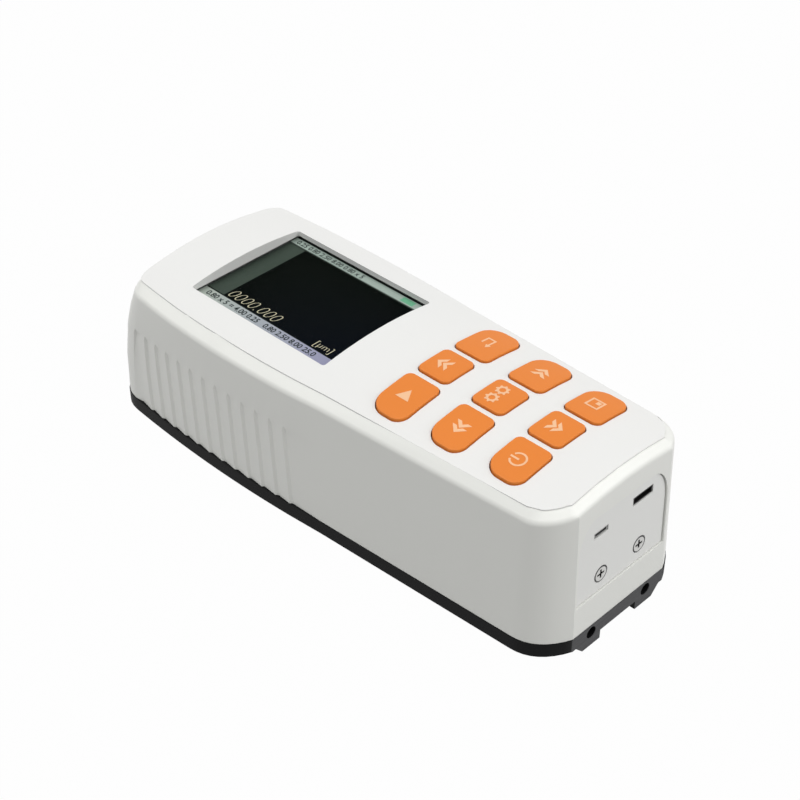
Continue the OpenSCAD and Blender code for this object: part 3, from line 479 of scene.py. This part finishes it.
def figures(name, words, width, height, corner, material, slant=0.0, weight=0.0):
    """Figures on the panel, made as text, turned to a mesh and laid in their place."""
    bpy.ops.object.select_all(action="DESELECT")
    bpy.ops.object.text_add(location=(0, 0, 0))
    piece = bpy.context.object
    piece.data.body = words
    piece.data.size = text_size
    piece.data.shear = slant
    piece.data.offset = weight * MM
    piece.data.resolution_u = 3
    bpy.ops.object.convert(target="MESH")
    bpy.ops.object.mode_set(mode="EDIT")
    bpy.ops.mesh.select_all(action="SELECT")
    bpy.ops.mesh.remove_doubles(threshold=merge_gap / 2)
    bpy.ops.object.mode_set(mode="OBJECT")
    settle(piece, name, width, height, corner, material)


figures("reading_figures", "0000.000", 18.4, 3.5, (-39.2, -12.5), cream_ink, 0.3, -0.09)
figures("unit_figures", "[µm]", 5.8, 2.9, (-6.8, -12.7), cream_ink, weight=-0.06)
figures("far_bar_figures", "0.25 0.80 2.50 8.00 0.80 x 5", 25.5, 1.75, (-44.8, 17.5), dark_ink, weight=0.05)
figures("near_bar_figures", "0.80 x 5 = 4.00 0.25   0.80 2.50 8.00 25.0", 41.0, 1.9, (-44.2, -15.9),
        dark_ink, weight=0.05)

cell_size = 2 * MM
cell_rim = 0.28 * MM
bpy.ops.object.select_all(action="DESELECT")
bpy.ops.mesh.primitive_plane_add(size=cell_size)
cell = bpy.context.object
bpy.ops.object.mode_set(mode="EDIT")
bpy.ops.mesh.inset(thickness=cell_rim)
bpy.ops.object.mode_set(mode="OBJECT")
settle(cell, "battery_sign", 4.4, 1.9, (-5.0, 17.5), green_ink)

glass, inputs, start = new_finish("clear_window", 0.06, shine=0.012)
place = place_on(start)
haze = noise(place, 70.0, 4.0)
link(haze * 0.06 + 0.04, inputs["Roughness"])
link(haze.mix((0.006, 0.007, 0.0065, 1), (0.01, 0.011, 0.0105, 1)), inputs["Base Color"])
inputs["Alpha"].default_value = 0.07
finish(solids["display_window"], glass)


# Keys. Orange caps with rounded edges that come up through the cover, three rows of three. Each has a
# pale printed sign: a triangle, double chevrons, a bent arrow, two gears, a ring with a bar, or a square.
key_orange = (0.765, 0.218, 0.026)
key_finish = moulded("orange_key", key_orange, 0.42, 0.35 * MM, 0.005 * MM, 0.03, shine=0.35)
caps = {}
for node in [n for n in solids if n.startswith("key_")]:
    caps[node] = dressed(node, node + "_cap", 0.4 * MM, sharp_deg=40, steps=4)
    finish(caps[node], key_finish)
drop_from = 2 * MM
print_lift = 0.02 * MM
print_thick = 0.03 * MM
print_ink = moulded("pale_print", (0.88, 0.53, 0.31), 0.6, 0.3 * MM, 0.002 * MM, 0.05, shine=0.2)


def ring_of(sides, radius, thick, teeth=0.0, open_half=0.0):
    """A flat outline with so many sides, which can be open at the top.

    With teeth, two corners of every four stand out."""
    bpy.ops.object.select_all(action="DESELECT")
    bpy.ops.mesh.primitive_circle_add(vertices=sides, radius=radius * MM, fill_type="NGON")
    piece = bpy.context.object
    for i, corner in enumerate(piece.data.vertices):
        if i % 4 < 2:
            corner.co *= 1 + teeth
    bpy.ops.object.mode_set(mode="EDIT")
    bpy.ops.mesh.select_all(action="SELECT")
    bpy.ops.mesh.inset(thickness=thick * MM)
    bpy.ops.mesh.delete(type="FACE")
    bpy.ops.object.mode_set(mode="OBJECT")
    for face in piece.data.polygons:
        face.select = face.center.y > 0 and abs(face.center.x) < open_half * MM
    bpy.ops.object.mode_set(mode="EDIT")
    bpy.ops.mesh.delete(type="FACE")
    bpy.ops.object.mode_set(mode="OBJECT")
    return piece


def chevron(radius, thick):
    """Half of a square outline that stands on its corner, with its point up."""
    piece = ring_of(4, radius, thick)
    bpy.ops.object.mode_set(mode="EDIT")
    bpy.ops.mesh.select_all(action="SELECT")
    bpy.ops.mesh.bisect(plane_co=(0, 0, 0), plane_no=(0, 1, 0), clear_inner=True)
    bpy.ops.object.mode_set(mode="OBJECT")
    return piece


def strip(x0, y0, x1, y1):
    """A flat bar between two corners, cut once across."""
    bpy.ops.object.select_all(action="DESELECT")
    bpy.ops.mesh.primitive_plane_add(size=1)
    piece = bpy.context.object
    piece.scale = ((x1 - x0) * MM, (y1 - y0) * MM, 1)
    piece.location = ((x0 + x1) / 2 * MM, (y0 + y1) / 2 * MM, 0)
    bpy.ops.object.transform_apply()
    bpy.ops.object.mode_set(mode="EDIT")
    bpy.ops.mesh.select_all(action="SELECT")
    bpy.ops.mesh.subdivide(number_cuts=1)
    bpy.ops.object.mode_set(mode="OBJECT")
    return piece


def at(piece, x=0.0, y=0.0, turn_deg=0.0, flat=1.0):
    """Turns and moves a flat sign, its mesh with it."""
    set_only(piece)
    piece.scale = (1, flat, 1)
    bpy.ops.object.transform_apply()
    piece.rotation_euler = (0, 0, math.radians(turn_deg))
    piece.location = (x * MM, y * MM, 0)
    bpy.ops.object.transform_apply()
    return piece


def triangle(radius):
    """A filled triangle with its point up, with a rim."""
    bpy.ops.object.select_all(action="DESELECT")
    bpy.ops.mesh.primitive_circle_add(vertices=3, radius=radius * MM, fill_type="NGON")
    bpy.ops.object.mode_set(mode="EDIT")
    bpy.ops.mesh.select_all(action="SELECT")
    bpy.ops.mesh.inset(thickness=0.2 * radius * MM)
    bpy.ops.object.mode_set(mode="OBJECT")
    return bpy.context.object


def printed(key, pieces, shift=(0.0, 0.0)):
    """Joins a sign's pieces, turns it to read from the rear end and lays it on its key as a thin print."""
    bpy.ops.object.select_all(action="DESELECT")
    for piece in pieces:
        piece.select_set(True)
    bpy.context.view_layer.objects.active = pieces[0]
    if len(pieces) > 1:
        bpy.ops.object.join()
    sign = pieces[0]
    sign.name = key + "_sign"
    low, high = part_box(key)
    at(sign, shift[0], shift[1])
    at(sign, (low.x + high.x) / 2 / MM, (low.y + high.y) / 2 / MM, 90)
    sign.location.z = high.z + drop_from
    bpy.ops.object.transform_apply()
    modify(sign, "on_the_cap", "SHRINKWRAP", target=caps[key], wrap_method="PROJECT", use_project_z=True,
           use_negative_direction=True, use_positive_direction=False, offset=print_lift)
    modify(sign, "ink", "SOLIDIFY", thickness=print_thick, offset=1)
    finish(sign, print_ink)
    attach(sign, body_of[key])


chevron_r = 2.3
chevron_flat = 0.95
chevron_low = -1.7
stroke = 0.95
step = 1.8


def chevrons(turn_deg):
    """Two chevrons, one behind the other."""
    pair = []
    for y in (chevron_low, chevron_low + step):
        piece = at(chevron(chevron_r, stroke), 0, y, flat=chevron_flat)
        pair.append(at(piece, turn_deg=turn_deg))
    return pair


printed("key_start", [at(triangle(2.4), turn_deg=-90)])
printed("key_up", chevrons(0), (0, 0.6))
printed("key_left", chevrons(90))
printed("key_right", chevrons(-90))
printed("key_down", chevrons(180), (0, 0.6))
printed("key_return", [strip(-0.9, 0.9, 1.6, 1.4), strip(1.6, -0.9, 2.1, 1.4), strip(-1.0, -1.4, 2.1, -0.9),
                       at(triangle(0.95), -1.4, -1.15, 90)], (0, 0.4))
printed("key_enter", [at(ring_of(32, 1.45, 0.62, 0.3), x) for x in (-1.95, 1.95)], (0, 1.0))
printed("key_power", [ring_of(40, 2.25, 0.52, open_half=0.85), strip(-0.28, -0.2, 0.28, 2.3)])
printed("key_save", [at(ring_of(4, 2.8, 0.52), turn_deg=45), strip(-0.1, -1.2, 1.2, 0.0)], (0, 0.5))


# Cover. The crowned white lid with the display opening and the key openings, set into the housing's rim.
# Injection moulded with a fine grain, its edges broken so the joint reads as a soft line.
# The cover's white is set a little darker than the housing's white plastic: painted shade that holds the
# top down under the lamp over it.
cover_finish = moulded("white_cover", (0.80, 0.80, 0.783), 0.4, 0.5 * MM, 0.004 * MM, 0.01)
upright = 0.3
side_of_keys = 23 * MM
before_window = -53 * MM
behind_keys = 78 * MM
joint_fill = 0.19 * MM
nose_reach = 3.0 * MM
nose_start = -46 * MM
nose_full = -60 * MM
edge_line = []


def nose_shift(x):
    """How far the joint is drawn out over the nose at a place along the body."""
    share = min(1, max(0, (nose_start - x) / (nose_start - nose_full)))
    return nose_reach * share * share * (3 - 2 * share)


def reach_out(mesh):
    """Closes the joint round the cover to a hair, and draws the cover's edge out over the nose."""
    push = {}
    middle = {}
    for face in mesh.polygons:
        beyond = abs(face.center.y) > side_of_keys or not before_window < face.center.x < behind_keys
        if beyond and abs(face.normal.z) < upright and face.normal.xy.dot(face.center.xy) > 0:
            for i in face.vertices:
                push[i] = push.get(i, Vector((0, 0))) + face.normal.xy
                middle[i] = face.center.z
    for i, way in push.items():
        corner = mesh.vertices[i].co
        edge_line.append((corner.copy(), corner.z > middle[i]))
        corner.xy += way.normalized() * joint_fill
        corner.x -= nose_shift(corner.x)


cover = dressed("top_cover", "top_cover_dressed", 0.45 * MM, steps=3, shape=reach_out)
finish(cover, cover_finish)


# Housing. One white moulding: a barrel front with twelve louvre ribs a side, a straight tapered rear,
# and a bevelled rim that carries the cover. Fine spark-eroded grain, satin.
joint_width = 0.6 * MM
lip = 0.34 * MM


def meet_cover(mesh):
    """Draws the rim's inner edge out over the nose with the cover's, and sets it a little lower."""
    for corner in mesh.vertices:
        reach, upper = min(((corner.co - place).length, upper) for place, upper in edge_line)
        if reach < joint_width:
            corner.co.x -= nose_shift(corner.co.x)
            corner.co.z -= lip * upper


shell_white = (0.872, 0.878, 0.838)
shell_finish = moulded("white_shell", shell_white, 0.42, 0.45 * MM, 0.006 * MM, 0.012)
housing = dressed("housing", "housing_dressed", 0.18 * MM, sharp_deg=26, shape=meet_cover)
finish(housing, shell_finish)


# Rear end. A flat white panel let into the housing and held by two plated cross-recess screws,
# with the openings of the two sockets through it.
panel_finish = moulded("white_panel", (0.86, 0.863, 0.84), 0.4, 0.45 * MM, 0.005 * MM, 0.01)
panel_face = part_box("rear_panel")[1].x
panel_forward = 0.4 * MM
recess_depth = 1.0 * MM


def bring_forward(mesh):
    """Sets the panel's face and what stands in it a little less deep in its recess."""
    for corner in mesh.vertices:
        if corner.co.x > panel_face - recess_depth:
            corner.co.x += panel_forward


panel = dressed("rear_panel", "rear_panel_dressed", 0.12 * MM, shape=bring_forward)
finish(panel, panel_finish)
mouth_forward = 1.0 * MM


def mouth_out(mesh):
    """Brings a socket's mouth out almost to the panel's face."""
    mouth = max(corner.co.x for corner in mesh.vertices)
    for corner in mesh.vertices:
        if corner.co.x > mouth - mouth_forward:
            corner.co.x += mouth_forward


# The usb socket's shell is coloured near black and brought out to the panel's face: painted shade that
# stands for the dark inside its opening. The card socket's shell is a darker grey than bare metal, partly
# its own colour and partly painted shade.
for node, name, colour in (("usb_socket", "painted_shade_usb_shell", (0.03, 0.03, 0.03)),
                           ("card_socket", "card_shell_and_shade", (0.3, 0.3, 0.295))):
    socket = dressed(node, node + "_dressed", 0.05 * MM, shape=mouth_out)
    finish(socket, metal(name, colour, 0.5, 0.4 * MM, 0.003 * MM))
screw_low, screw_high = (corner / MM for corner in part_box("rear_screws"))
head_r = (screw_high.z - screw_low.z) / 2
screw_y = screw_high.y - head_r
screw_z = (screw_high.z + screw_low.z) / 2
# The rim of each head and its cross recess are coloured near black: painted shade where the head falls away
# into the countersink gap and down into the recess.
recess_drop = 0.3
ring_share = 0.84
screw_finish, inputs, start = new_finish("panel_screw_steel", 0.35, 1.0)
place, x, y, z = places(start)
out_y = start.math("ABSOLUTE", y) - screw_y
out_z = z - screw_z
reach = start.math("SQRT", out_y * out_y + out_z * out_z)
in_recess = x < (panel_face + panel_forward) / MM - recess_drop
shade = start.math("MAXIMUM", reach > ring_share * head_r, in_recess)
turned = noise(place, 2500.0, 3.0)
steel = turned.mix((0.5, 0.5, 0.49, 1), (0.62, 0.62, 0.6, 1))
link(shade.mix(steel, (0.05, 0.05, 0.05, 1)), inputs["Base Color"])
link(turned * 0.15 + 0.28, inputs["Roughness"])
link(bump(turned, 0.3, 0.005 * MM), inputs["Normal"])
rear_screws = dressed("rear_screws", "rear_screws_dressed", 0.1 * MM, shape=bring_forward)
finish(rear_screws, screw_finish)
